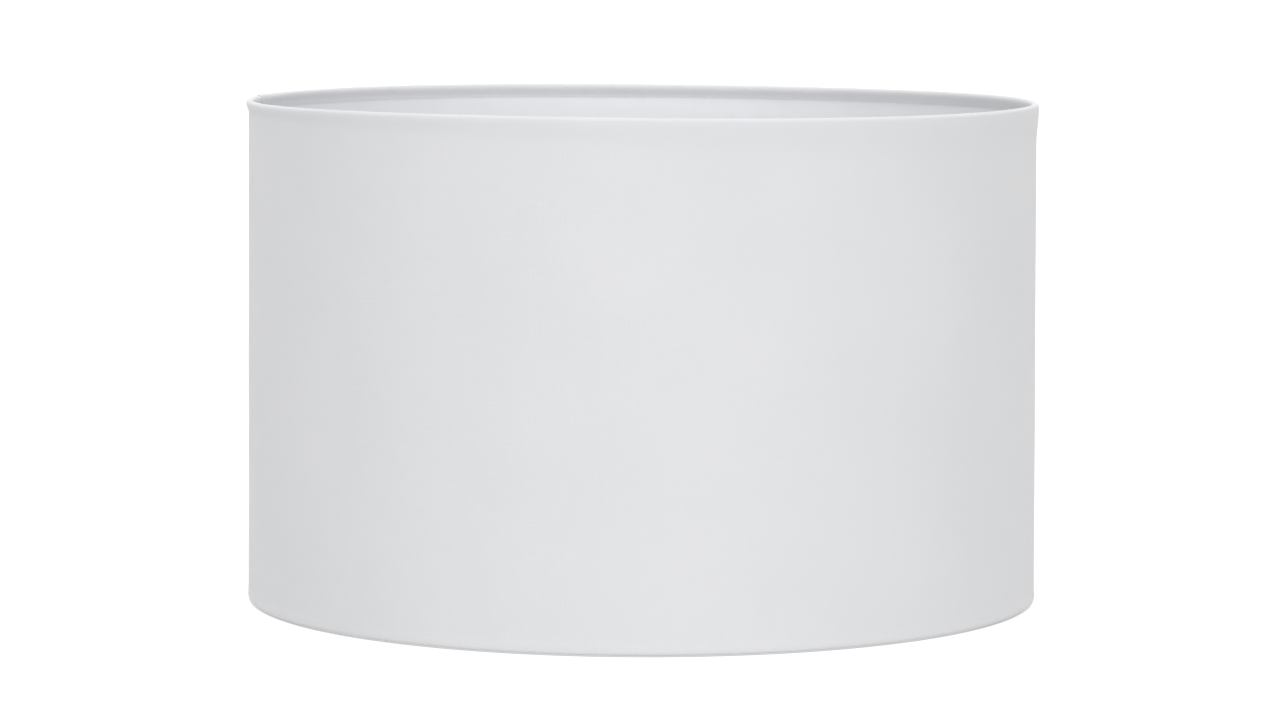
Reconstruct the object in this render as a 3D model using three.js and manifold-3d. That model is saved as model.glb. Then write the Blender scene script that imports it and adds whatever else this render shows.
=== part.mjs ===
// A drum lamp shade: white cotton laminated to a plastic liner, its hems rolled over two steel rings.
// The bottom ring carries a three-arm spider with a recessed fitter, and a reducer ring lifts out of it.
// Millimetres, +Z up. The origin is on the surface that the shade stands on, under its centre.
import * as THREE from "three";
import { mergeVertices } from "three/addons/utils/BufferGeometryUtils.js";
import Module from "manifold-3d";

const wasm = await Module();
wasm.setup();

// Overall sizes
const shadeDiameter = 400; // outside of the cloth on the wall
const shadeHeight = 254; // over the rolled hems at the seam, where they are thickest

// Sheet, wire and tape
const clothThickness = 0.3;
const linerThickness = 0.45;
const wireDiameter = 2.8; // both rings and the three arms
const tapeThickness = 0.1; // double-sided tape
const layerGap = 0.05; // the glue line between two layers
const weldGap = 0.3; // between an arm's end and what it is welded to

// Rolled hems: how far each stands out past the wall
const topHemProud = 0.6;
const bottomHemProud = 0.9;
const hemEdgeGap = 0.1; // from the raw edge of the hem to the liner
const notchClearance = 0.3; // round an arm where the hem is snipped for it

// Side seam, where the laminate laps over its own end
const seamDegrees = 171; // from +X towards +Y: just behind the left side
const seamOverlap = 12;
const seamStep = 1.2; // the length of wall over which a layer steps outwards

// Spider and fitter
const armDegrees = { rear: 90, left: 210, right: 330 };
const armSlopeDegrees = 45;
const armBendRadius = 10;
const fitterRecess = 28; // from the bottom rim up to the fitter's underside
const fitterDiameter = 62;
const fitterHoleDiameter = 43;
const fitterBandHeight = 5;
const fitterSheet = 1.2;

// Reducer ring
const reducerHoleDiameter = 29;
const reducerPlate = 2;
const reducerEdgeGap = 1; // from the plate to the fitter's band
const reducerSeatGap = 0.2; // from the plate to the fitter's flange
const collarClearance = 0.4; // from the collar to the fitter's hole
const collarWall = 1.6;
const collarDrop = 2; // below the fitter's flange
const holeLip = 1; // height of the lip round the reducer's hole
const holeLipWidth = 1.8;
const gripRibs = 6;
const gripRibWidth = 1.4;
const gripRibProud = 0.15;
const gripRibInset = 1; // from the collar's lower edge up to a rib
const webThickness = 1.2;
const webDepth = 1.4;
const webInset = 1; // from the reducer's hole out to a web

// Facets
const shadeFacets = 60; // round the shade
const fitterFacets = 36; // round the fitter and the reducer
const sectionSides = 8; // round a ring's wire or a hem
const armSides = 12; // round an arm
const armBendSteps = 6; // along an arm's bend

const radians = THREE.MathUtils.degToRad;
const halfSide = Math.PI / sectionSides;

// Radii of the wall's layers
const wallRadius = shadeDiameter / 2;
const clothInside = wallRadius - clothThickness;
const linerOutside = clothInside - layerGap;
const linerInside = linerOutside - linerThickness;

// Radii of what is wrapped round a ring's wire
const wireRadius = wireDiameter / 2;
const tapeInside = wireRadius + layerGap;
const tapeOutside = tapeInside + tapeThickness;
const hemInside = tapeOutside + layerGap;
const hemOutside = hemInside + clothThickness;

// Where one end of the laminate laps over the other: how far out the upper layer lies
const tapedLap = layerGap + tapeThickness + layerGap;
const wallLift = wallRadius - linerInside + tapedLap;
const hemLift = clothThickness + tapedLap;

// The two rings. up says which way the rim faces.
const topRing = {
  radius: wallRadius + topHemProud - hemOutside,
  z: shadeHeight - hemLift - hemOutside,
  up: 1,
};
const bottomRing = {
  radius: wallRadius + bottomHemProud - hemOutside,
  z: hemLift + hemOutside,
  up: -1,
};

// A point of a ring's section: turn is 0 outwards and a quarter turn at the rim's crest.
function onSection(ring, distance, turn) {
  return new THREE.Vector2(
    ring.radius + distance * Math.cos(turn),
    ring.z + ring.up * distance * Math.sin(turn),
  );
}

// The corners between two turns of a many-sided section whose flats lie at the given distance.
function sectionCorners(ring, distance, from, to) {
  const corners = [];
  for (let turn = -3 * halfSide; turn < 2 * Math.PI; turn += 2 * halfSide) {
    if (turn > from && turn < to) {
      corners.push(onSection(ring, distance / Math.cos(halfSide), turn));
    }
  }
  return corners;
}

// Solids

function solidOf(geometry) {
  const bare = new THREE.BufferGeometry();
  bare.setAttribute("position", geometry.getAttribute("position"));
  bare.setIndex(geometry.getIndex());
  const merged = mergeVertices(bare, 1e-4);
  const triVerts = new Uint32Array(merged.getIndex().array);
  return new wasm.Manifold(
    new wasm.Mesh({ numProp: 3, vertProperties: merged.getAttribute("position").array, triVerts }),
  );
}

function geometryOf(solid) {
  const mesh = solid.getMesh();
  const geometry = new THREE.BufferGeometry();
  geometry.setAttribute("position", new THREE.BufferAttribute(mesh.vertProperties, 3));
  geometry.setIndex(new THREE.BufferAttribute(mesh.triVerts, 1));
  return geometry;
}

// A closed outline of radius and height, turned all the way round the Z axis.
function revolve(outline, facets) {
  const ordered = THREE.ShapeUtils.isClockWise(outline) ? outline.slice().reverse() : outline;
  const lathe = new THREE.LatheGeometry([...ordered, ordered[0]], facets);
  return solidOf(lathe.rotateX(Math.PI / 2));
}

function rectangle(inside, outside, bottom, top) {
  return [
    new THREE.Vector2(inside, bottom),
    new THREE.Vector2(outside, bottom),
    new THREE.Vector2(outside, top),
    new THREE.Vector2(inside, top),
  ];
}

// A block with its long side along +X turned to an angle about the Z axis.
function block(inside, outside, width, bottom, top, degrees) {
  const box = new THREE.BoxGeometry(outside - inside, width, top - bottom);
  box.translate((inside + outside) / 2, 0, (bottom + top) / 2);
  return solidOf(box.rotateZ(radians(degrees)));
}

// The slice of the shade between two distances along its wall, measured from the middle of the seam.
function slice(from, to) {
  const reach = shadeDiameter;
  const turnAt = (along) => radians(seamDegrees) + along / wallRadius;
  const shape = new THREE.Shape([
    new THREE.Vector2(0, 0),
    new THREE.Vector2(reach * Math.cos(turnAt(from)), reach * Math.sin(turnAt(from))),
    new THREE.Vector2(reach * Math.cos(turnAt(to)), reach * Math.sin(turnAt(to))),
  ]);
  const wedge = new THREE.ExtrudeGeometry(shape, { depth: 2 * shadeHeight, bevelEnabled: false });
  return solidOf(wedge.translate(0, 0, -shadeHeight / 2));
}

// Cloth

// How far round the wire the hem reaches: its raw edge stops just short of the liner.
function hemEnd(ring, inside, outside) {
  const room = linerInside - hemEdgeGap - ring.radius;
  const nearest = (room < 0 ? inside : outside) / Math.cos(halfSide);
  return 2 * Math.PI - Math.acos(room / nearest);
}

// One face of the cloth from the wall to the raw edge of a hem.
function hemFace(ring, wall, hem, end) {
  const corner = hem / Math.cos(halfSide);
  const start = -Math.acos(Math.min((wall - ring.radius) / corner, 1));
  const least = halfSide / 3; // a shorter facet is left out
  return [
    new THREE.Vector2(wall, onSection(ring, corner, start).y),
    ...sectionCorners(ring, hem, start + least, end - least),
    onSection(ring, corner, end),
  ];
}

// The outline of the cloth from one raw edge to the other, between two faces. Each face is given by how
// far it lies outside the cloth's own inner face, on the wall and on the hems.
function clothOutline(inner, outer) {
  const sides = [bottomRing, topRing].map((ring) => {
    const end = hemEnd(ring, hemInside + inner.hem, hemInside + outer.hem);
    return {
      inner: hemFace(ring, clothInside + inner.wall, hemInside + inner.hem, end),
      outer: hemFace(ring, clothInside + outer.wall, hemInside + outer.hem, end),
    };
  });
  const [bottom, top] = sides;
  return [
    ...bottom.outer.slice().reverse(),
    ...top.outer,
    ...top.inner.slice().reverse(),
    ...bottom.inner,
  ];
}

const onWire = { wall: 0, hem: 0 };
const onWireOutside = { wall: clothThickness, hem: clothThickness };
const lifted = { wall: wallLift, hem: hemLift };
const liftedOutside = { wall: wallLift + clothThickness, hem: hemLift + clothThickness };

// Positions along the wall from the middle of the seam. The cloth steps out first, then the liner.
const lapStart = -seamOverlap / 2;
const lapEnd = seamOverlap / 2;
const linerStepEnd = lapStart - seamStep;
const linerStepStart = linerStepEnd - seamStep;
const clothStepEnd = linerStepStart - seamStep;
const clothStepStart = clothStepEnd - seamStep;

// A layer that steps outwards at the seam and laps over its own other end.
function lappedLayer(under, step, over, stepStart, stepEnd) {
  return revolve(under, shadeFacets)
    .subtract(slice(stepEnd, lapStart))
    .add(revolve(step, shadeFacets).intersect(slice(stepStart, stepEnd)))
    .add(revolve(over, shadeFacets).intersect(slice(stepStart, lapEnd)));
}

// The room cut in the bottom hem and its tape for each arm, open at the hem's raw edge.
function armNotches() {
  const width = wireDiameter + 2 * notchClearance;
  const past = 2 * hemOutside; // beyond the lapped hem
  const inside = bottomRing.radius - past;
  const outside = linerInside - hemEdgeGap / 2;
  const bottom = bottomRing.z - notchClearance;
  const top = bottomRing.z + past;
  return Object.values(armDegrees)
    .map((degrees) => block(inside, outside, width, bottom, top, degrees))
    .reduce((all, one) => all.add(one));
}

function clothCover() {
  return lappedLayer(
    clothOutline(onWire, onWireOutside),
    clothOutline(onWire, liftedOutside),
    clothOutline(lifted, liftedOutside),
    clothStepStart,
    clothStepEnd,
  ).subtract(armNotches());
}

// Liner

// The liner and the seam tape stop clear of the hems.
const linerBottom = bottomRing.z + hemOutside / Math.cos(halfSide) + layerGap;
const linerTop = topRing.z - hemOutside / Math.cos(halfSide) - layerGap;

function liner() {
  return lappedLayer(
    rectangle(linerInside, linerOutside, linerBottom, linerTop),
    rectangle(linerInside, linerOutside + wallLift, linerBottom, linerTop),
    rectangle(linerInside + wallLift, linerOutside + wallLift, linerBottom, linerTop),
    linerStepStart,
    linerStepEnd,
  );
}

// Tapes

function seamTape() {
  const inside = wallRadius + layerGap;
  const strip = rectangle(inside, inside + tapeThickness, linerBottom, linerTop);
  return revolve(strip, shadeFacets).intersect(slice(lapStart, lapEnd));
}

// Tape folded round a ring's wire, open along the side that faces the wall.
function ringTape(ring) {
  const from = -2 * halfSide;
  const to = 3 * Math.PI / 2 - halfSide / 2;
  const outline = [
    ...sectionCorners(ring, tapeOutside, from, to),
    ...sectionCorners(ring, tapeInside, from, to).reverse(),
  ];
  return revolve(outline, shadeFacets);
}

// Steel

function ringWire(ring) {
  return revolve(sectionCorners(ring, wireRadius, -2 * halfSide, 2 * Math.PI - 2 * halfSide), shadeFacets);
}

const fitterRadius = fitterDiameter / 2;
const fitterHole = fitterHoleDiameter / 2;
const flangeTop = fitterRecess + fitterSheet;
const armLevel = fitterRecess + fitterBandHeight / 2;

// The middle line of an arm in the XZ plane. It slopes up and inwards from the bottom ring, then bends
// to run level to the fitter. The straight stretches take one step each and the bend takes the rest.
class ArmLine extends THREE.Curve {
  constructor(bendSteps) {
    super();
    const slope = radians(armSlopeDegrees);
    const foot = wireRadius + weldGap;
    const corner = bottomRing.radius - (armLevel - bottomRing.z) / Math.tan(slope);
    this.steps = bendSteps + 2;
    this.slope = slope;
    this.centre = new THREE.Vector3(
      corner - armBendRadius * Math.tan(slope / 2),
      0,
      armLevel - armBendRadius,
    );
    this.start = new THREE.Vector3(
      bottomRing.radius - foot * Math.cos(slope),
      0,
      bottomRing.z + foot * Math.sin(slope),
    );
    this.end = new THREE.Vector3(fitterRadius + weldGap, 0, armLevel);
  }
  onBend(share) {
    const turn = this.slope * (1 - share);
    const out = new THREE.Vector3(Math.sin(turn), 0, Math.cos(turn));
    return out.multiplyScalar(armBendRadius).add(this.centre);
  }
  getPoint(t) {
    const step = t * this.steps;
    if (step < 1) return this.start.clone().lerp(this.onBend(0), step);
    if (step > this.steps - 1) return this.onBend(1).lerp(this.end, step - this.steps + 1);
    return this.onBend((step - 1) / (this.steps - 2));
  }
  getUtoTmapping(u) {
    return u;
  }
}

function spiderArm() {
  const section = new THREE.Shape();
  section.absarc(0, 0, wireRadius, 0, 2 * Math.PI);
  const line = new ArmLine(armBendSteps);
  const wire = new THREE.ExtrudeGeometry(section, {
    steps: line.steps,
    curveSegments: armSides / 2,
    extrudePath: line,
  });
  return solidOf(wire);
}

// A flange with the lampholder's hole, inside a short upright band that the arms are welded to.
function fitterRing() {
  const band = fitterRadius - fitterSheet;
  return revolve(
    [
      new THREE.Vector2(fitterHole, fitterRecess),
      new THREE.Vector2(fitterRadius, fitterRecess),
      new THREE.Vector2(fitterRadius, fitterRecess + fitterBandHeight),
      new THREE.Vector2(band, fitterRecess + fitterBandHeight),
      new THREE.Vector2(band, flangeTop),
      new THREE.Vector2(fitterHole, flangeTop),
    ],
    fitterFacets,
  );
}

// Reducer: a plate that rests in the fitter, with a collar down through the fitter's hole.
function reducerRing() {
  const hole = reducerHoleDiameter / 2;
  const rim = fitterRadius - fitterSheet - reducerEdgeGap;
  const collar = fitterHole - collarClearance;
  const bottom = flangeTop + reducerSeatGap;
  const top = bottom + reducerPlate;
  const collarBottom = fitterRecess - collarDrop;
  const body = revolve(
    [
      new THREE.Vector2(hole, bottom),
      new THREE.Vector2(collar - collarWall, bottom),
      new THREE.Vector2(collar - collarWall, collarBottom),
      new THREE.Vector2(collar, collarBottom),
      new THREE.Vector2(collar, bottom),
      new THREE.Vector2(rim, bottom),
      new THREE.Vector2(rim, top),
      new THREE.Vector2(hole + holeLipWidth, top),
      new THREE.Vector2(hole + holeLipWidth, top + holeLip),
      new THREE.Vector2(hole, top + holeLip),
    ],
    fitterFacets,
  );
  const inCollar = collar - collarWall / 2;
  const inPlate = bottom + reducerPlate / 2;
  const ribOutside = collar + gripRibProud;
  const ribBottom = collarBottom + gripRibInset;
  let made = body;
  for (let i = 0; i < gripRibs; i += 1) {
    const degrees = (i * 360) / gripRibs;
    made = made
      .add(block(inCollar, ribOutside, gripRibWidth, ribBottom, inPlate, degrees))
      .add(block(hole + webInset, inCollar, webThickness, bottom - webDepth, inPlate, degrees));
  }
  return made;
}

// Materials

function finish(color, roughness) {
  return new THREE.MeshStandardMaterial({ color, roughness, metalness: 0 });
}

const cotton = finish(0xe6e7ea, 0.9);
const linerPlastic = finish(0xe9eaec, 0.55);
const whiteEnamel = finish(0xeeeeec, 0.35);
const whitePlastic = finish(0xf2f2f0, 0.4);
const tapeFilm = finish(0xe8e6dc, 0.5);

// Assembly

const shade = new THREE.Group();

function place(name, solid, material, parent = shade) {
  const mesh = new THREE.Mesh(geometryOf(solid), material);
  mesh.name = name;
  parent.add(mesh);
  return mesh;
}

place("cloth_cover", clothCover(), cotton);
place("liner", liner(), linerPlastic);
place("seam_tape", seamTape(), tapeFilm);
place("top_ring", ringWire(topRing), whiteEnamel);
place("top_ring_tape", ringTape(topRing), tapeFilm);

const carrier = new THREE.Group();
shade.add(carrier);
place("bottom_ring", ringWire(bottomRing), whiteEnamel, carrier);
place("bottom_ring_tape", ringTape(bottomRing).subtract(armNotches()), tapeFilm, carrier);
for (const [side, degrees] of Object.entries(armDegrees)) {
  const arm = place("spider_arm_" + side, spiderArm(), whiteEnamel, carrier);
  arm.rotation.z = radians(degrees);
}
place("fitter_ring", fitterRing(), whiteEnamel, carrier);
place("reducer_ring", reducerRing(), whitePlastic);

export default shade;
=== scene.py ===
import math

import bpy
import numpy as np
from mathutils import Matrix, Vector, noise


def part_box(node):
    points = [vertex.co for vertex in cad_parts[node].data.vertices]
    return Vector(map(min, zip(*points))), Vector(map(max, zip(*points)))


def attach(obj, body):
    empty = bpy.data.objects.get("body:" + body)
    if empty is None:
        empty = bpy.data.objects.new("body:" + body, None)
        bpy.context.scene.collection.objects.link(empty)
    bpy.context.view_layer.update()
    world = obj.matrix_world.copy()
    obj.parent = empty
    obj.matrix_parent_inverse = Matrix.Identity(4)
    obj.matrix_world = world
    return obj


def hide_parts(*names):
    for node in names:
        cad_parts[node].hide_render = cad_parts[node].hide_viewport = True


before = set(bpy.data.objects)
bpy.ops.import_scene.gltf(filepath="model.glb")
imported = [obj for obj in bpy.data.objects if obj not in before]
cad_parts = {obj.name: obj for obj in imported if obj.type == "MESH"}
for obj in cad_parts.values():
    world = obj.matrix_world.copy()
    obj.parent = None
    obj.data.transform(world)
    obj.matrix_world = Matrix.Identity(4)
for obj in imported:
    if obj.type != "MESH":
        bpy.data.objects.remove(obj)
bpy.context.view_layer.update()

# The room: a pale, glowing floor under a sky that is bright overhead and in front and dim to the
# sides, as between soft boxes. A thin dark line in the floor's glow under the bottom hem is a painted
# contact shadow, and the floor's glow inside the drum is turned down a little as painted shade.
bpy.context.scene.view_settings.view_transform = "Standard"

sky_overhead, sky_ahead, sky_beside = 1.66, 1.85, 0.0
sky_turn = math.radians(4.4)
sky = bpy.data.worlds.new("studio_sky")
sky.use_nodes = True
nodes, links = sky.node_tree.nodes, sky.node_tree.links
sky_place = nodes.new("ShaderNodeTexCoord")
sky_turned = nodes.new("ShaderNodeMapping")
sky_turned.inputs["Rotation"].default_value = (0, 0, -sky_turn)
links.new(sky_place.outputs["Generated"], sky_turned.inputs["Vector"])
squares = nodes.new("ShaderNodeVectorMath")
squares.operation = "MULTIPLY"
links.new(sky_turned.outputs["Vector"], squares.inputs[0])
links.new(sky_turned.outputs["Vector"], squares.inputs[1])
sky_level = nodes.new("ShaderNodeVectorMath")
sky_level.operation = "DOT_PRODUCT"
sky_level.inputs[1].default_value = (sky_beside, sky_ahead, sky_overhead)
links.new(squares.outputs["Vector"], sky_level.inputs[0])
links.new(sky_level.outputs["Value"], nodes["Background"].inputs["Strength"])
nodes["Background"].inputs["Color"].default_value = (1, 1, 1, 1)
backdrop = nodes.new("ShaderNodeBackground")
backdrop.inputs["Color"].default_value = (1, 1, 1, 1)
seen = nodes.new("ShaderNodeLightPath")
either = nodes.new("ShaderNodeMixShader")
links.new(seen.outputs["Is Camera Ray"], either.inputs["Fac"])
links.new(nodes["Background"].outputs["Background"], either.inputs[1])
links.new(backdrop.outputs["Background"], either.inputs[2])
links.new(either.outputs["Shader"], nodes["World Output"].inputs["Surface"])
bpy.context.scene.world = sky

bpy.ops.object.select_all(action="DESELECT")
bpy.ops.mesh.primitive_plane_add(size=60)
floor = bpy.context.active_object
floor.name = "studio_floor"
floor_paint = bpy.data.materials.new("studio_floor")
floor_paint.use_nodes = True
nodes, links = floor_paint.node_tree.nodes, floor_paint.node_tree.links
floor_shader = nodes["Principled BSDF"]
floor_shader.inputs["Base Color"].default_value = (0.12, 0.12, 0.12, 1)
floor_shader.inputs["Roughness"].default_value = 0.9
floor_shader.inputs["Specular IOR Level"].default_value = 0.1
floor_shader.inputs["Emission Color"].default_value = (1, 1, 1, 1)
floor_place = nodes.new("ShaderNodeTexCoord")
hem_circle = 0.1991
shadow_line_inner, shadow_line_outer = 0.0006, 0.002
painted_shadow_dark, floor_bright = 0.42, 0.76
seen_boost = 0.2
painted_inside_shade_share = 0.92
floor_reach = nodes.new("ShaderNodeVectorMath")
floor_reach.operation = "LENGTH"
links.new(floor_place.outputs["Object"], floor_reach.inputs[0])
from_hem = nodes.new("ShaderNodeMath")
from_hem.operation = "SUBTRACT"
from_hem.inputs[1].default_value = hem_circle
links.new(floor_reach.outputs["Value"], from_hem.inputs[0])
beside_hem = nodes.new("ShaderNodeMath")
beside_hem.operation = "ABSOLUTE"
links.new(from_hem.outputs["Value"], beside_hem.inputs[0])
# Painted contact shadow: the floor's glow drops to a dark line along the circle under the bottom hem.
painted_contact_shadow = nodes.new("ShaderNodeMapRange")
painted_contact_shadow.interpolation_type = "SMOOTHSTEP"
painted_contact_shadow.inputs["From Min"].default_value = shadow_line_inner
painted_contact_shadow.inputs["From Max"].default_value = shadow_line_outer
painted_contact_shadow.inputs["To Min"].default_value = painted_shadow_dark
painted_contact_shadow.inputs["To Max"].default_value = floor_bright
links.new(beside_hem.outputs["Value"], painted_contact_shadow.inputs["Value"])
whiter = nodes.new("ShaderNodeLightPath")
glow = nodes.new("ShaderNodeMath")
glow.operation = "MULTIPLY_ADD"
glow.inputs[1].default_value = seen_boost
links.new(whiter.outputs["Is Camera Ray"], glow.inputs[0])
links.new(painted_contact_shadow.outputs["Result"], glow.inputs[2])
# Painted shade: inside the hem's circle the floor glows less, and the camera doesn't see it whiter
# there.
inside = nodes.new("ShaderNodeMath")
inside.operation = "LESS_THAN"
links.new(from_hem.outputs["Value"], inside.inputs[0])
inside.inputs[1].default_value = 0
inside_painted_shade = nodes.new("ShaderNodeMath")
inside_painted_shade.operation = "MULTIPLY"
inside_painted_shade.inputs[1].default_value = painted_inside_shade_share
links.new(painted_contact_shadow.outputs["Result"], inside_painted_shade.inputs[0])
floor_glow = nodes.new("ShaderNodeMix")
links.new(inside.outputs["Value"], floor_glow.inputs["Factor"])
links.new(glow.outputs["Value"], floor_glow.inputs[2])
links.new(inside_painted_shade.outputs["Value"], floor_glow.inputs[3])
links.new(floor_glow.outputs[0], floor_shader.inputs["Emission Strength"])
floor.data.materials.append(floor_paint)

camera_away = 2.378
camera_height = 0.3577
camera_pitch = 0.09935
camera_turn = 0.0004
camera_roll = 0.00285
lens = bpy.data.cameras.new("camera")
lens.sensor_width = 36
lens.lens = 131.65
camera = bpy.data.objects.new("camera", lens)
camera.matrix_world = (
    Matrix.Translation((0, -camera_away, camera_height))
    @ Matrix.Rotation(camera_turn, 4, "Z")
    @ Matrix.Rotation(math.pi / 2 - camera_pitch, 4, "X")
    @ Matrix.Rotation(camera_roll, 4, "Z")
)
bpy.context.scene.collection.objects.link(camera)
bpy.context.scene.camera = camera

# The cloth cover: one length of white plain-weave cotton, cut flat. Both long edges are rolled
# inwards over the wire rings, glued, and tucked down against the liner. It closes on itself in a
# lap just behind the shade's left side, and is snipped for the three arms.
cloth_thick = 0.0003
glue = 0.00005
tape_thick = 0.0001
seam_turn = math.radians(171)
seam_lap = 0.012
wall_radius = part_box("liner")[1].x + glue + cloth_thick / 2
liner_thick = 0.00045
lap_lift = 3 * glue + liner_thick + cloth_thick + tape_thick
hem_lift = cloth_thick + 2 * glue + tape_thick


def ring_of(node):
    low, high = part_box(node)
    wire = (high.z - low.z) / 2
    return {"wire": wire, "radius": high.x - wire, "height": (high.z + low.z) / 2}


top = ring_of("top_ring")
bottom = ring_of("bottom_ring")
hem_radius = top["wire"] + 2 * glue + tape_thick + cloth_thick / 2
hem_turn = math.radians(185)
hem_tuck = 0.0059
tuck_drop = 0.89 * hem_tuck
tuck_gap = 0.00004
hem_width = hem_radius * hem_turn + hem_tuck
drum_height = top["height"] - bottom["height"]
cloth_length = 2 * math.pi * wall_radius + seam_lap
cloth_width = drum_height + 2 * hem_width


def smooth(t):
    t = np.clip(t, 0, 1)
    return t * t * (3 - 2 * t)


def ripple(places, size, seed):
    return np.array([noise.noise(Vector(p) / size + Vector((seed, 0, 0))) for p in places])


# How far round the drum a point of the sheet lies, in radians, from its distance along the sheet.
def turn_at(along):
    return seam_turn + (along - seam_lap / 2) / wall_radius


# The share of the lap's step that a point of the sheet has risen, near the end that lies on top.
lap_rise = 0.0055
lap_clear = 0.0007


def lap_share(along):
    return smooth((along - (cloth_length - seam_lap - lap_rise - lap_clear)) / lap_rise)


# How far the laminate stands outside a true cylinder: it leans a little inwards on its way up,
# flares to each ring, over the longest reach on the right of the top, and is a hair out of true.
wall_lean = 0.0007
wall_wobble = 0.00022
bottom_flare = 0.006


def wall_swell(along, height):
    turn = turn_at(along)
    top_flare = 0.0125 + 0.0085 * np.cos(turn)
    near_top = smooth((height - top["height"] + top_flare) / top_flare)
    near_bottom = smooth((bottom["height"] + bottom_flare - height) / bottom_flare)
    middle = np.clip((height - bottom["height"]) / drum_height, 0, 1)
    swell = wall_lean * (1 - 2 * middle) * (1 - near_top) * (1 - near_bottom)
    swell += (top["radius"] + hem_radius - wall_radius) * near_top
    swell += (bottom["radius"] + hem_radius - wall_radius) * near_bottom
    places = np.stack([np.cos(turn), np.sin(turn), (height - bottom["height"]) / wall_radius], 1)
    swell += wall_wobble * np.sin(math.pi * middle) ** 0.7 * ripple(places, 0.42, 3.0)
    return swell


# The top ring isn't quite flat: it is a little high on the left and low on the right.
def rim_wave(turn):
    return -0.0006 * np.cos(turn) + 0.0003 * np.cos(3 * (turn - math.radians(131)))


def round_drum(along, radius, height):
    turn = turn_at(along)
    waved = height + rim_wave(turn) * height / top["height"]
    return np.stack([radius * np.cos(turn), radius * np.sin(turn), waved], 1)


def follow_rim(piece):
    for vertex in piece.data.vertices:
        vertex.co.z += rim_wave(math.atan2(vertex.co.y, vertex.co.x))


cloth_columns = 640
hem_rows, flare_rows, wall_rows = 18, 12, 6
cloth_rows = 2 * hem_rows + 2 * flare_rows + wall_rows
flare_reach = 0.018
bpy.ops.object.select_all(action="DESELECT")
bpy.ops.mesh.primitive_grid_add(x_subdivisions=cloth_columns, y_subdivisions=cloth_rows, size=1)
cover = bpy.context.active_object
cover.name = "cloth_cover_woven"
flat = np.zeros(len(cover.data.vertices) * 3)
cover.data.vertices.foreach_get("co", flat)
flat = flat.reshape(-1, 3) + 0.5
row_share = np.cumsum([0, hem_rows, flare_rows, wall_rows, flare_rows, hem_rows]) / cloth_rows
row_place = [
    0,
    hem_width,
    hem_width + flare_reach,
    cloth_width - hem_width - flare_reach,
    cloth_width - hem_width,
    cloth_width,
]
along = flat[:, 0] * cloth_length
across = np.interp(flat[:, 1], row_share, row_place)
threads = cover.data.uv_layers.active.data
for loop in cover.data.loops:
    threads[loop.index].uv = (along[loop.vertex_index], across[loop.vertex_index])

lump_size, lump_height = 0.011, 0.00007
pucker_size, pucker_height = 0.0024, 0.00004
fray_size = 0.0016
end_press, press_reach = 0.00014, 0.003
height = bottom["height"] + across - hem_width
radius = wall_radius + wall_swell(along, height) + lap_lift * lap_share(along)
for ring, rolled, up in (
    (bottom, hem_width - across, -1),
    (top, across - cloth_width + hem_width, 1),
):
    on_hem = rolled > 0
    roll = np.minimum(rolled[on_hem] / hem_radius, hem_turn)
    x = along[on_hem]
    turn = turn_at(x)
    hoop = np.stack([wall_radius * np.cos(turn), wall_radius * np.sin(turn), 0 * roll], 1)
    lumps = ripple(hoop + np.outer(roll, (0, 0, 0.001)), lump_size, 7.0 + up)
    puckers = ripple(hoop + np.outer(roll, (0, 0, 0.0006)), pucker_size, 11.0 + up)
    fray = ripple(hoop, fray_size, 17.0 + up)
    tucked = np.maximum(rolled[on_hem] - hem_radius * hem_turn, 0) / hem_tuck
    pressed = end_press * smooth((x - cloth_length + press_reach) / press_reach)
    reach = hem_radius + hem_lift * lap_share(x) - pressed
    bumps = lump_height * lumps + pucker_height * puckers * smooth(roll / 3)
    reach += smooth(roll / 1.2) * np.maximum(bumps, -0.2 * glue)
    step = (lap_lift - hem_lift) * lap_share(x) * smooth(1 - roll / 1.2)
    level = ring["height"] + up * reach * np.sin(roll)
    level -= up * tuck_drop * tucked * (1 + 0.06 * fray)
    inside = wall_radius + wall_swell(x, level) - cloth_thick - glue - liner_thick - tuck_gap
    inside -= hem_lift * lap_share(x)
    rolled_to = ring["radius"] + reach * np.cos(roll) + step
    radius[on_hem] = rolled_to + (inside - rolled_to) * smooth(tucked)
    height[on_hem] = level
cover.data.vertices.foreach_set("co", round_drum(along, radius, height).ravel())
cover.data.update()

bpy.ops.object.modifier_add(type="SOLIDIFY")
cover.modifiers["Solidify"].thickness = cloth_thick
cover.modifiers["Solidify"].offset = 0
bpy.ops.object.modifier_apply(modifier="Solidify")
bpy.ops.object.shade_smooth_by_angle(angle=math.radians(50))

arm_turns = {"rear": math.radians(90), "left": math.radians(210), "right": math.radians(330)}
snip_width = 0.0034
snip_depth = 0.006
snip_below = 0.0009
snip_tall = 0.0082


def snip_for_arms(piece):
    bpy.ops.object.select_all(action="DESELECT")
    inside = bottom["radius"] - snip_depth
    outside = wall_radius - cloth_thick / 2 - glue - liner_thick - glue
    low = bottom["height"] - snip_below
    for turn in arm_turns.values():
        bpy.ops.mesh.primitive_cube_add(size=1)
        cutter = bpy.context.active_object
        cutter.scale = (outside - inside, snip_width, snip_tall)
        cutter.location = ((inside + outside) / 2, 0, low + snip_tall / 2)
        bpy.ops.object.transform_apply(location=True, rotation=True, scale=True)
        cutter.rotation_euler = (0, 0, turn)
        bpy.ops.object.transform_apply(location=True, rotation=True, scale=True)
        bpy.ops.object.select_all(action="DESELECT")
        piece.select_set(True)
        bpy.context.view_layer.objects.active = piece
        bpy.ops.object.modifier_add(type="BOOLEAN")
        piece.modifiers["Boolean"].operation = "DIFFERENCE"
        piece.modifiers["Boolean"].solver = "EXACT"
        piece.modifiers["Boolean"].object = cutter
        bpy.ops.object.modifier_apply(modifier="Boolean")
        bpy.data.objects.remove(cutter)


snip_for_arms(cover)


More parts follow.
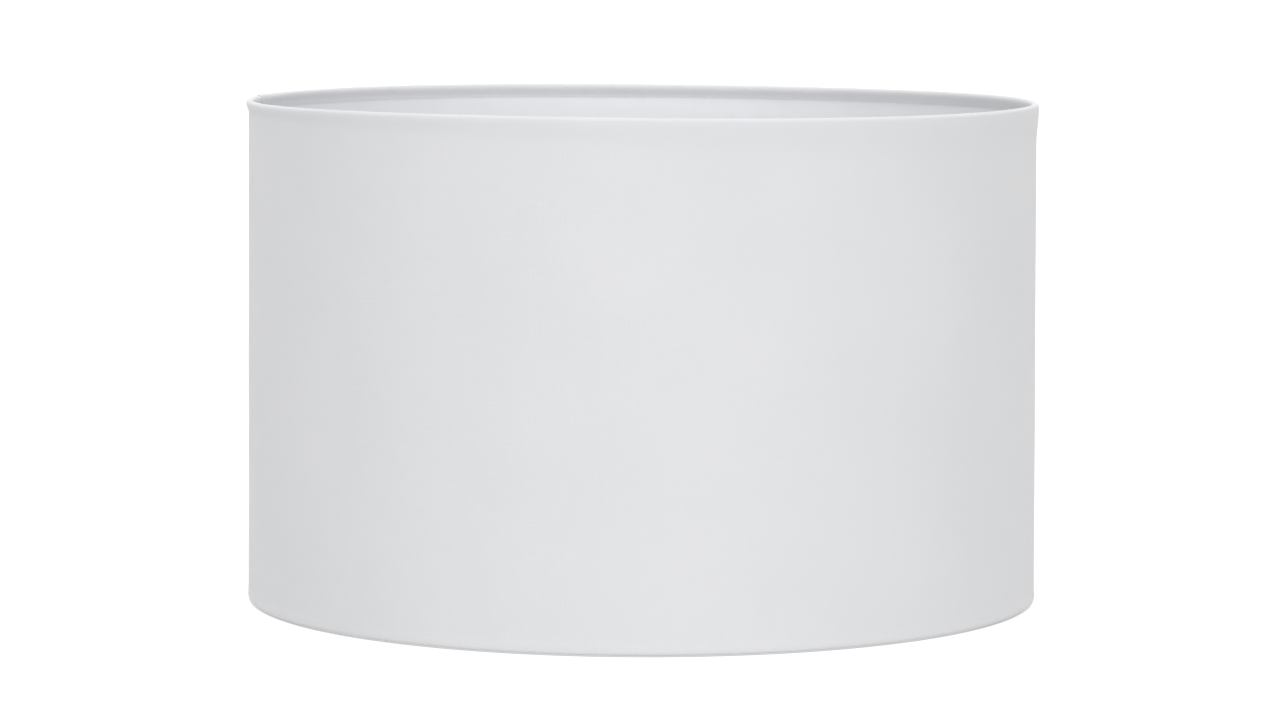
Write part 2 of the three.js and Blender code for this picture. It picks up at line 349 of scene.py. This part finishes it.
def new_material(name):
    made = bpy.data.materials.new(name)
    made.use_nodes = True
    return made, made.node_tree.nodes, made.node_tree.links


def math_node(tree, operation, first, second=None):
    node = tree.nodes.new("ShaderNodeMath")
    node.operation = operation
    for socket, value in zip(node.inputs, (first, second)):
        if isinstance(value, bpy.types.NodeSocket):
            tree.links.new(value, socket)
        elif value is not None:
            socket.default_value = value
    return node.outputs["Value"]


cotton, nodes, links = new_material("white_cotton")
tree = cotton.node_tree
shader = nodes["Principled BSDF"]
shader.inputs["Roughness"].default_value = 0.88
shader.inputs["Specular IOR Level"].default_value = 0.25
shader.inputs["Sheen Weight"].default_value = 0.12
shader.inputs["Sheen Roughness"].default_value = 0.5

cloth_uv = nodes.new("ShaderNodeUVMap")
cloth_uv.uv_map = cover.data.uv_layers.active.name


def stretched_noise(scale, detail, roughness=0.5):
    placed = nodes.new("ShaderNodeMapping")
    placed.inputs["Scale"].default_value = scale
    links.new(cloth_uv.outputs["UV"], placed.inputs["Vector"])
    texture = nodes.new("ShaderNodeTexNoise")
    texture.inputs["Scale"].default_value = 1
    texture.inputs["Detail"].default_value = detail
    texture.inputs["Roughness"].default_value = roughness
    links.new(placed.outputs["Vector"], texture.inputs["Vector"])
    return texture.outputs["Fac"]


threads_per_metre = 2300
split = nodes.new("ShaderNodeSeparateXYZ")
links.new(cloth_uv.outputs["UV"], split.inputs["Vector"])
wander = stretched_noise((150, 150, 1), 1)
warp = math_node(tree, "MULTIPLY", split.outputs["X"], threads_per_metre)
warp = math_node(tree, "ADD", warp, wander)
weft = math_node(tree, "MULTIPLY", split.outputs["Y"], threads_per_metre)
weft = math_node(tree, "ADD", weft, wander)


def thread_crown(count):
    across_thread = math_node(tree, "FRACT", count)
    centred = math_node(tree, "SUBTRACT", across_thread, 0.5)
    square = math_node(tree, "MULTIPLY", centred, centred)
    return math_node(tree, "SUBTRACT", 1.0, math_node(tree, "MULTIPLY", square, 4.0))


warp_crown = thread_crown(warp)
weft_crown = thread_crown(weft)
cell = math_node(tree, "ADD", math_node(tree, "FLOOR", warp), math_node(tree, "FLOOR", weft))
over = math_node(tree, "PINGPONG", cell, 1.0)
warp_height = math_node(tree, "MULTIPLY", warp_crown, math_node(tree, "ADD", weft_crown, 0.6))
weft_height = math_node(tree, "MULTIPLY", weft_crown, math_node(tree, "ADD", warp_crown, 0.6))
weave = nodes.new("ShaderNodeMix")
links.new(over, weave.inputs["Factor"])
links.new(warp_height, weave.inputs[2])
links.new(weft_height, weave.inputs[3])

warp_slubs = stretched_noise((900, 22, 1), 2)
weft_slubs = stretched_noise((22, 900, 1), 2)
slubs = math_node(tree, "ADD", warp_slubs, weft_slubs)
thread_relief = math_node(tree, "MULTIPLY", weave.outputs[0], 0.35)
relief = math_node(tree, "ADD", thread_relief, slubs)
bump = nodes.new("ShaderNodeBump")
bump.inputs["Strength"].default_value = 0.45
bump.inputs["Distance"].default_value = 0.00012
links.new(relief, bump.inputs["Height"])
links.new(bump.outputs["Normal"], shader.inputs["Normal"])


def ramp(factor, stops):
    made = nodes.new("ShaderNodeValToRGB")
    links.new(factor, made.inputs["Fac"])
    while len(made.color_ramp.elements) < len(stops):
        made.color_ramp.elements.new(0.5)
    for element, (place, color) in zip(made.color_ramp.elements, stops):
        element.position = place
        element.color = (*color, 1)
    return made.outputs["Color"]


def blend_colors(mode, factor, first, second):
    made = nodes.new("ShaderNodeMix")
    made.data_type = "RGBA"
    made.blend_type = mode
    for socket, value in ((made.inputs[0], factor), (made.inputs[6], first), (made.inputs[7], second)):
        if isinstance(value, bpy.types.NodeSocket):
            links.new(value, socket)
        else:
            socket.default_value = value
    return made.outputs[2]


clouds = stretched_noise((14, 14, 1), 3)
ground = ramp(clouds, ((0.3, (0.698, 0.704, 0.724)), (0.7, (0.718, 0.720, 0.732))))
thread_tone = ramp(slubs, ((0.35, (0.955, 0.955, 0.96)), (0.5, (1, 1, 1)), (0.68, (0.985, 0.985, 0.98))))
woven = blend_colors("MULTIPLY", 1.0, ground, thread_tone)
# Painted shade: the cloth's colour darkens where the weave's height is low, in the hollows between the
# threads.
weave_gap_shade = ramp(weave.outputs[0], ((0.0, (0.86, 0.865, 0.88)), (0.45, (1, 1, 1))))
woven = blend_colors("MULTIPLY", 1.0, woven, weave_gap_shade)

fleck_cells = nodes.new("ShaderNodeTexVoronoi")
fleck_cells.inputs["Scale"].default_value = 45
links.new(cloth_uv.outputs["UV"], fleck_cells.inputs["Vector"])
fleck_size = math_node(tree, "LESS_THAN", fleck_cells.outputs["Distance"], 0.011)
fleck_pick = nodes.new("ShaderNodeSeparateColor")
links.new(fleck_cells.outputs["Color"], fleck_pick.inputs["Color"])
fleck_here = math_node(tree, "GREATER_THAN", fleck_pick.outputs["Red"], 0.965)
flecks = math_node(tree, "MULTIPLY", fleck_size, fleck_here)
woven = blend_colors("MIX", flecks, woven, (0.42, 0.40, 0.38, 1))
links.new(woven, shader.inputs["Base Color"])

cover.data.materials.clear()
cover.data.materials.append(cotton)
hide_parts("cloth_cover")
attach(cover, "shade")

# The liner: one sheet of white plastic, bonded to the whole inside of the cloth between the hems.
# It stiffens the cloth, laps with it at the seam, and is what shows on the inside of the shade.
def roll_sheet(name, columns, rows, start, length, lowest, highest, row_power, radius_at, thickness):
    bpy.ops.object.select_all(action="DESELECT")
    bpy.ops.mesh.primitive_grid_add(x_subdivisions=columns, y_subdivisions=rows, size=1)
    made = bpy.context.active_object
    made.name = name
    flat = np.zeros(len(made.data.vertices) * 3)
    made.data.vertices.foreach_get("co", flat)
    flat = flat.reshape(-1, 3)
    along = start + (flat[:, 0] + 0.5) * length
    share = np.sign(flat[:, 1]) * np.abs(2 * flat[:, 1]) ** row_power
    height = (lowest + highest) / 2 + share * (highest - lowest) / 2
    for loop in made.data.loops:
        made.data.uv_layers.active.data[loop.index].uv = (
            along[loop.vertex_index],
            height[loop.vertex_index],
        )
    points = round_drum(along, radius_at(along, height), height)
    made.data.vertices.foreach_set("co", points.ravel())
    made.data.update()
    bpy.ops.object.modifier_add(type="SOLIDIFY")
    made.modifiers["Solidify"].thickness = thickness
    made.modifiers["Solidify"].offset = 0
    bpy.ops.object.modifier_apply(modifier="Solidify")
    bpy.ops.object.shade_smooth_by_angle(angle=math.radians(50))
    return made


def laminate_radius(along, height):
    return wall_radius + wall_swell(along, height) + lap_lift * lap_share(along)


def liner_radius(along, height):
    return laminate_radius(along, height) - cloth_thick / 2 - glue - liner_thick / 2


hem_outside = hem_radius + cloth_thick / 2
edge_gap = 0.00003
liner_bottom = bottom["height"] + hem_outside + edge_gap
liner_top = top["height"] - hem_outside - edge_gap
liner = roll_sheet(
    "liner_sheet", 480, 64, 0, cloth_length, liner_bottom, liner_top, 0.4, liner_radius, liner_thick
)

# Faint relief and tone that several of the smooth finishes share: rolling lines in the liner,
# the orange peel of the enamel, and the mould's texture on the plastic.
grain = bpy.data.node_groups.new("surface_grain", "ShaderNodeTree")
for name, kind in (("Stretch", "NodeSocketVector"), ("Size", "NodeSocketFloat")):
    grain.interface.new_socket(name, in_out="INPUT", socket_type=kind)
for name in ("Height", "Tone"):
    grain.interface.new_socket(name, in_out="OUTPUT", socket_type="NodeSocketFloat")
nodes, links = grain.nodes, grain.links
given = nodes.new("NodeGroupInput")
result = nodes.new("NodeGroupOutput")
place = nodes.new("ShaderNodeTexCoord")
stretched = nodes.new("ShaderNodeVectorMath")
stretched.operation = "MULTIPLY"
links.new(place.outputs["Object"], stretched.inputs[0])
links.new(given.outputs["Stretch"], stretched.inputs[1])
fine = nodes.new("ShaderNodeTexNoise")
fine.inputs["Detail"].default_value = 3
links.new(stretched.outputs["Vector"], fine.inputs["Vector"])
links.new(given.outputs["Size"], fine.inputs["Scale"])
links.new(fine.outputs["Fac"], result.inputs["Height"])
broad = nodes.new("ShaderNodeTexNoise")
broad.inputs["Detail"].default_value = 4
broad.inputs["Roughness"].default_value = 0.6
links.new(stretched.outputs["Vector"], broad.inputs["Vector"])
links.new(math_node(grain, "MULTIPLY", given.outputs["Size"], 0.06), broad.inputs["Scale"])
links.new(broad.outputs["Fac"], result.inputs["Tone"])


def grained_material(name, dark, light, rough, relief, stretch, size):
    made, nodes, links = new_material(name)
    shader = nodes["Principled BSDF"]
    grained = nodes.new("ShaderNodeGroup")
    grained.node_tree = grain
    grained.inputs["Stretch"].default_value = stretch
    grained.inputs["Size"].default_value = size
    color = nodes.new("ShaderNodeValToRGB")
    color.color_ramp.elements[0].position = 0.3
    color.color_ramp.elements[0].color = (*dark, 1)
    color.color_ramp.elements[1].position = 0.7
    color.color_ramp.elements[1].color = (*light, 1)
    links.new(grained.outputs["Tone"], color.inputs["Fac"])
    links.new(color.outputs["Color"], shader.inputs["Base Color"])
    roughness = nodes.new("ShaderNodeMapRange")
    roughness.inputs["To Min"].default_value = rough[0]
    roughness.inputs["To Max"].default_value = rough[1]
    links.new(grained.outputs["Tone"], roughness.inputs["Value"])
    links.new(roughness.outputs["Result"], shader.inputs["Roughness"])
    bump = nodes.new("ShaderNodeBump")
    bump.inputs["Strength"].default_value = 0.5
    bump.inputs["Distance"].default_value = relief
    links.new(grained.outputs["Height"], bump.inputs["Height"])
    links.new(bump.outputs["Normal"], shader.inputs["Normal"])
    return made, shader


liner_plastic, shader = grained_material(
    "liner_plastic", (0.76, 0.765, 0.785), (0.775, 0.78, 0.80), (0.44, 0.54), 0.00001, (1, 1, 0.15), 900
)
liner.data.materials.append(liner_plastic)
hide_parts("liner")
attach(liner, "shade")

# The seam tape: a strip of double-sided tape down the lap, between the cloth underneath and the
# liner of the end that lies on top. It stops short of both hems.
tape_low, tape_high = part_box("seam_tape")


def tape_radius(along, height):
    return wall_radius + wall_swell(along, height) + cloth_thick / 2 + glue + tape_thick / 2


tape_margin = 0.0005
seam_tape = roll_sheet(
    "seam_tape_strip",
    8,
    64,
    tape_margin,
    seam_lap - 2 * tape_margin,
    tape_low.z,
    tape_high.z,
    0.4,
    tape_radius,
    tape_thick,
)
tape_film, shader = grained_material(
    "tape_film", (0.66, 0.64, 0.56), (0.74, 0.72, 0.64), (0.3, 0.5), 0.00001, (1, 1, 1), 700
)
seam_tape.data.materials.append(tape_film)
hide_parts("seam_tape")
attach(seam_tape, "shade")

# The two wire rings: bright steel wire bent round and butt-welded at the back, then enamelled white.
# They lie inside the hems and show only where the hem is snipped for an arm.
enamel, shader = grained_material(
    "white_enamel", (0.80, 0.80, 0.79), (0.86, 0.86, 0.85), (0.22, 0.38), 0.00003, (1, 1, 1), 1400
)
shader.inputs["Coat Weight"].default_value = 0.25
shader.inputs["Coat Roughness"].default_value = 0.2
weld_reach = 1.6
weld_swell = 1.03
for name, node, ring in (
    ("top_ring_wire", "top_ring", top),
    ("bottom_ring_wire", "bottom_ring", bottom),
):
    bpy.ops.object.select_all(action="DESELECT")
    bpy.ops.mesh.primitive_torus_add(
        major_segments=288,
        minor_segments=20,
        major_radius=ring["radius"],
        minor_radius=ring["wire"],
        location=(0, 0, ring["height"]),
    )
    wire = bpy.context.active_object
    wire.name = name
    bpy.ops.object.transform_apply(location=True, rotation=True, scale=True)
    bpy.ops.object.mode_set(mode="EDIT")
    bpy.ops.mesh.select_all(action="DESELECT")
    bpy.ops.object.mode_set(mode="OBJECT")
    weld = Vector((0, ring["radius"], ring["height"]))
    for vertex in wire.data.vertices:
        vertex.select = (vertex.co - weld).length < ring["wire"] * weld_reach
    bpy.ops.object.mode_set(mode="EDIT")
    bpy.ops.transform.resize(value=(1, weld_swell, weld_swell), center_override=weld)
    bpy.ops.object.mode_set(mode="OBJECT")
    if ring is top:
        follow_rim(wire)
    bpy.ops.object.shade_smooth()
    wire.data.materials.append(enamel)
    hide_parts(node)
    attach(wire, "shade")

# The ring tapes: double-sided tape folded round each wire, open along the side that faces the wall.
# The cloth of the hem sticks to it all the way round.
tape_open_from, tape_open_to = math.radians(-105), math.radians(-35)
for name, node, ring, up in (
    ("top_ring_wrap", "top_ring_tape", top, 1),
    ("bottom_ring_wrap", "bottom_ring_tape", bottom, -1),
):
    bpy.ops.object.select_all(action="DESELECT")
    bpy.ops.mesh.primitive_torus_add(
        major_segments=288,
        minor_segments=36,
        major_radius=ring["radius"],
        minor_radius=ring["wire"] + glue + tape_thick / 2,
        location=(0, 0, ring["height"]),
    )
    wrap = bpy.context.active_object
    wrap.name = name
    bpy.ops.object.transform_apply(location=True, rotation=True, scale=True)
    bpy.ops.object.mode_set(mode="EDIT")
    bpy.ops.mesh.select_mode(type="FACE")
    bpy.ops.mesh.select_all(action="DESELECT")
    bpy.ops.object.mode_set(mode="OBJECT")
    for face in wrap.data.polygons:
        out = math.hypot(face.center.x, face.center.y) - ring["radius"]
        turn = math.atan2(up * (face.center.z - ring["height"]), out)
        face.select = tape_open_from < turn < tape_open_to
    bpy.ops.object.mode_set(mode="EDIT")
    bpy.ops.mesh.delete(type="FACE")
    bpy.ops.mesh.select_mode(type="VERT")
    bpy.ops.object.mode_set(mode="OBJECT")
    bpy.ops.object.modifier_add(type="SOLIDIFY")
    wrap.modifiers["Solidify"].thickness = tape_thick
    wrap.modifiers["Solidify"].offset = 0
    bpy.ops.object.modifier_apply(modifier="Solidify")
    if ring is bottom:
        snip_for_arms(wrap)
    else:
        follow_rim(wrap)
    bpy.ops.object.shade_smooth_by_angle(angle=math.radians(50))
    wrap.data.materials.append(tape_film)
    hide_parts(node)
    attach(wrap, "shade")

# The spider: three arms of the same enamelled steel wire. Each is welded to the bottom ring, slopes
# up and inwards, bends level, and is welded to the fitter's band, with the enamel over the welds.
arm_low, arm_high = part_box("spider_arm_rear")
arm_wire = (arm_high.x - arm_low.x) / 2
arm_level = arm_high.z - arm_wire
arm_bend = 0.010
arm_slope = math.radians(45)
fitter_low, fitter_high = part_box("fitter_ring")
fitter_radius = fitter_high.x
corner_out = bottom["radius"] - (arm_level - bottom["height"]) / math.tan(arm_slope)
bend_out = corner_out - arm_bend * math.tan(arm_slope / 2)
bend_centre = Vector((bend_out, 0, arm_level - arm_bend))
weld_gap = 0.0002
foot = Vector((bottom["radius"], 0, bottom["height"])) + (bottom["wire"] + weld_gap) * Vector(
    (-math.cos(arm_slope), 0, math.sin(arm_slope))
)
bend_start = bend_centre + arm_bend * Vector((math.sin(arm_slope), 0, math.cos(arm_slope)))
bpy.ops.object.select_all(action="DESELECT")
bpy.ops.mesh.primitive_circle_add(
    vertices=24, radius=arm_wire, location=foot, rotation=(0, -arm_slope, 0)
)
arm = bpy.context.active_object
bpy.ops.object.transform_apply(location=True, rotation=True, scale=True)
bpy.ops.object.mode_set(mode="EDIT")
bpy.ops.mesh.select_all(action="SELECT")
bpy.ops.mesh.extrude_edges_move(TRANSFORM_OT_translate={"value": bend_start - foot})
bpy.ops.mesh.spin(steps=10, angle=arm_slope, center=bend_centre, axis=(0, 1, 0))
bpy.ops.mesh.extrude_edges_move(
    TRANSFORM_OT_translate={"value": (fitter_radius + 0.0001 - bend_out, 0, 0)}
)
bpy.ops.mesh.select_all(action="SELECT")
bpy.ops.mesh.remove_doubles(threshold=0.00001)
bpy.ops.mesh.fill_holes(sides=0)
bpy.ops.mesh.normals_make_consistent(inside=False)
bpy.ops.mesh.select_all(action="DESELECT")
for at, stretch in (
    (foot + Vector((0.0002, 0, -0.0002)), (1.25, 1.12, 1.25)),
    (Vector((fitter_radius + 0.0003, 0, arm_level)), (0.75, 1.55, 1.3)),
):
    bpy.ops.mesh.primitive_ico_sphere_add(subdivisions=3, radius=arm_wire, location=at)
    bpy.ops.transform.resize(value=stretch, center_override=at)
    bpy.ops.mesh.select_all(action="DESELECT")
bpy.ops.object.mode_set(mode="OBJECT")
bpy.ops.object.modifier_add(type="REMESH")
arm.modifiers["Remesh"].mode = "VOXEL"
arm.modifiers["Remesh"].voxel_size = 0.0003
bpy.ops.object.modifier_apply(modifier="Remesh")
bpy.ops.object.modifier_add(type="SMOOTH")
arm.modifiers["Smooth"].iterations = 8
bpy.ops.object.modifier_apply(modifier="Smooth")
bpy.ops.object.shade_smooth()
arm.data.materials.append(enamel)
for side, turn in arm_turns.items():
    bpy.ops.object.select_all(action="DESELECT")
    arm.select_set(True)
    bpy.context.view_layer.objects.active = arm
    bpy.ops.object.duplicate()
    copy = bpy.context.active_object
    copy.name = "spider_arm_" + side + "_wire"
    copy.rotation_euler = (0, 0, turn)
    bpy.ops.object.transform_apply(location=True, rotation=True, scale=True)
    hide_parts("spider_arm_" + side)
    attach(copy, "shade")
bpy.data.objects.remove(arm)

# The fitter: a ring pressed from steel sheet, a flat flange with the lampholder's hole inside a
# short upright band. The press leaves a round corner between them and a soft edge all round.
sheet_thick = 0.0012
fitter_hole = 0.0215
press_bend = 0.0012
flange_mid = fitter_low.z + sheet_thick / 2
band_mid = fitter_radius - sheet_thick / 2
bpy.ops.object.select_all(action="DESELECT")
bpy.ops.mesh.primitive_circle_add(vertices=128, radius=fitter_hole, location=(0, 0, flange_mid))
fitter = bpy.context.active_object
fitter.name = "fitter_ring_pressing"
bpy.ops.object.transform_apply(location=True, rotation=True, scale=True)
bpy.ops.object.mode_set(mode="EDIT")
bpy.ops.mesh.select_all(action="SELECT")
reach, level = fitter_hole, flange_mid
profile = [(band_mid - press_bend, flange_mid)]
for step in range(1, 7):
    turn = step * math.radians(15)
    profile.append(
        (
            band_mid - press_bend + press_bend * math.sin(turn),
            flange_mid + press_bend - press_bend * math.cos(turn),
        )
    )
profile.append((band_mid, fitter_high.z))
for out, up in profile:
    bpy.ops.mesh.extrude_edges_move(TRANSFORM_OT_translate={"value": (0, 0, up - level)})
    bpy.ops.transform.resize(value=(out / reach, out / reach, 1), center_override=(0, 0, up))
    reach, level = out, up
bpy.ops.mesh.select_all(action="SELECT")
bpy.ops.mesh.normals_make_consistent(inside=False)
bpy.ops.object.mode_set(mode="OBJECT")
bpy.ops.object.modifier_add(type="SOLIDIFY")
fitter.modifiers["Solidify"].thickness = sheet_thick
fitter.modifiers["Solidify"].offset = 0
fitter.modifiers["Solidify"].use_even_offset = True
bpy.ops.object.modifier_apply(modifier="Solidify")
bpy.ops.object.modifier_add(type="BEVEL")
fitter.modifiers["Bevel"].width = 0.00025
fitter.modifiers["Bevel"].segments = 3
fitter.modifiers["Bevel"].limit_method = "ANGLE"
fitter.modifiers["Bevel"].angle_limit = math.radians(50)
bpy.ops.object.modifier_apply(modifier="Bevel")
bpy.ops.object.shade_smooth_by_angle(angle=math.radians(50))
fitter.data.materials.append(enamel)
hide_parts("fitter_ring")
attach(fitter, "shade")

# The reducer: a loose ring moulded in white plastic. Its plate rests in the fitter, its collar drops
# through the fitter's hole, and a raised lip runs round the hole for a smaller lampholder.
plate_low, plate_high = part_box("reducer_ring")
hole = 0.0145
lip = 0.001
lip_width = 0.0018
plate_rim = plate_high.x
plate_top = plate_high.z - lip
plate_thick = 0.002
plate_bottom = plate_top - plate_thick
collar_gap = 0.0004
collar = fitter_hole - collar_gap
collar_wall = 0.0016
bpy.ops.object.select_all(action="DESELECT")
bpy.ops.mesh.primitive_circle_add(vertices=128, radius=hole, location=(0, 0, plate_high.z))
reducer = bpy.context.active_object
reducer.name = "reducer_ring_moulding"
bpy.ops.object.transform_apply(location=True, rotation=True, scale=True)
bpy.ops.object.mode_set(mode="EDIT")
bpy.ops.mesh.select_all(action="SELECT")
reach, level = hole, plate_high.z
for out, up in (
    (hole + lip_width, plate_high.z),
    (hole + lip_width, plate_top),
    (plate_rim, plate_top),
    (plate_rim, plate_bottom),
    (collar, plate_bottom),
    (collar, plate_low.z),
    (collar - collar_wall, plate_low.z),
    (collar - collar_wall, plate_bottom),
    (hole, plate_bottom),
    (hole, plate_high.z),
):
    bpy.ops.mesh.extrude_edges_move(TRANSFORM_OT_translate={"value": (0, 0, up - level)})
    bpy.ops.transform.resize(value=(out / reach, out / reach, 1), center_override=(0, 0, up))
    reach, level = out, up
bpy.ops.mesh.select_all(action="SELECT")
bpy.ops.mesh.remove_doubles(threshold=0.00001)
bpy.ops.mesh.normals_make_consistent(inside=False)
bpy.ops.object.mode_set(mode="OBJECT")
bpy.ops.object.modifier_add(type="BEVEL")
reducer.modifiers["Bevel"].width = 0.00022
reducer.modifiers["Bevel"].segments = 3
reducer.modifiers["Bevel"].limit_method = "ANGLE"
reducer.modifiers["Bevel"].angle_limit = math.radians(50)
bpy.ops.object.modifier_apply(modifier="Bevel")


def join_block(piece, operation, size, at, turn, bevel):
    bpy.ops.object.select_all(action="DESELECT")
    bpy.ops.mesh.primitive_cube_add(size=1)
    block = bpy.context.active_object
    block.scale = size
    block.location = at
    bpy.ops.object.transform_apply(location=True, rotation=True, scale=True)
    bpy.ops.object.modifier_add(type="BEVEL")
    block.modifiers["Bevel"].width = bevel
    block.modifiers["Bevel"].segments = 2
    bpy.ops.object.modifier_apply(modifier="Bevel")
    block.rotation_euler = (0, 0, turn)
    bpy.ops.object.transform_apply(location=True, rotation=True, scale=True)
    bpy.ops.object.select_all(action="DESELECT")
    piece.select_set(True)
    bpy.context.view_layer.objects.active = piece
    bpy.ops.object.modifier_add(type="BOOLEAN")
    piece.modifiers["Boolean"].operation = operation
    piece.modifiers["Boolean"].solver = "EXACT"
    piece.modifiers["Boolean"].object = block
    bpy.ops.object.modifier_apply(modifier="Boolean")
    bpy.data.objects.remove(block)


grip_ribs = 6
rib_wide, rib_proud = 0.0014, 0.00015
rib_inside, rib_outside = collar - collar_wall / 2, collar + rib_proud
rib_height = plate_bottom - plate_low.z
web_thick, web_tall = 0.0012, 0.0024
web_inside = hole + 0.001
for rib in range(grip_ribs):
    turn = rib * 2 * math.pi / grip_ribs
    join_block(
        reducer,
        "UNION",
        (rib_outside - rib_inside, rib_wide, rib_height),
        ((rib_inside + rib_outside) / 2, 0, plate_bottom + 0.001 - rib_height / 2),
        turn,
        0.0001,
    )
    join_block(
        reducer,
        "UNION",
        (rib_inside - web_inside, web_thick, web_tall),
        ((rib_inside + web_inside) / 2, 0, plate_bottom - 0.0002),
        turn,
        0.00015,
    )
bpy.ops.object.shade_smooth_by_angle(angle=math.radians(50))
moulding, shader = grained_material(
    "white_moulding", (0.84, 0.84, 0.82), (0.88, 0.88, 0.86), (0.34, 0.46), 0.000015, (1, 1, 1), 2600
)
reducer.data.materials.append(moulding)
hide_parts("reducer_ring")
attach(reducer, "reducer")
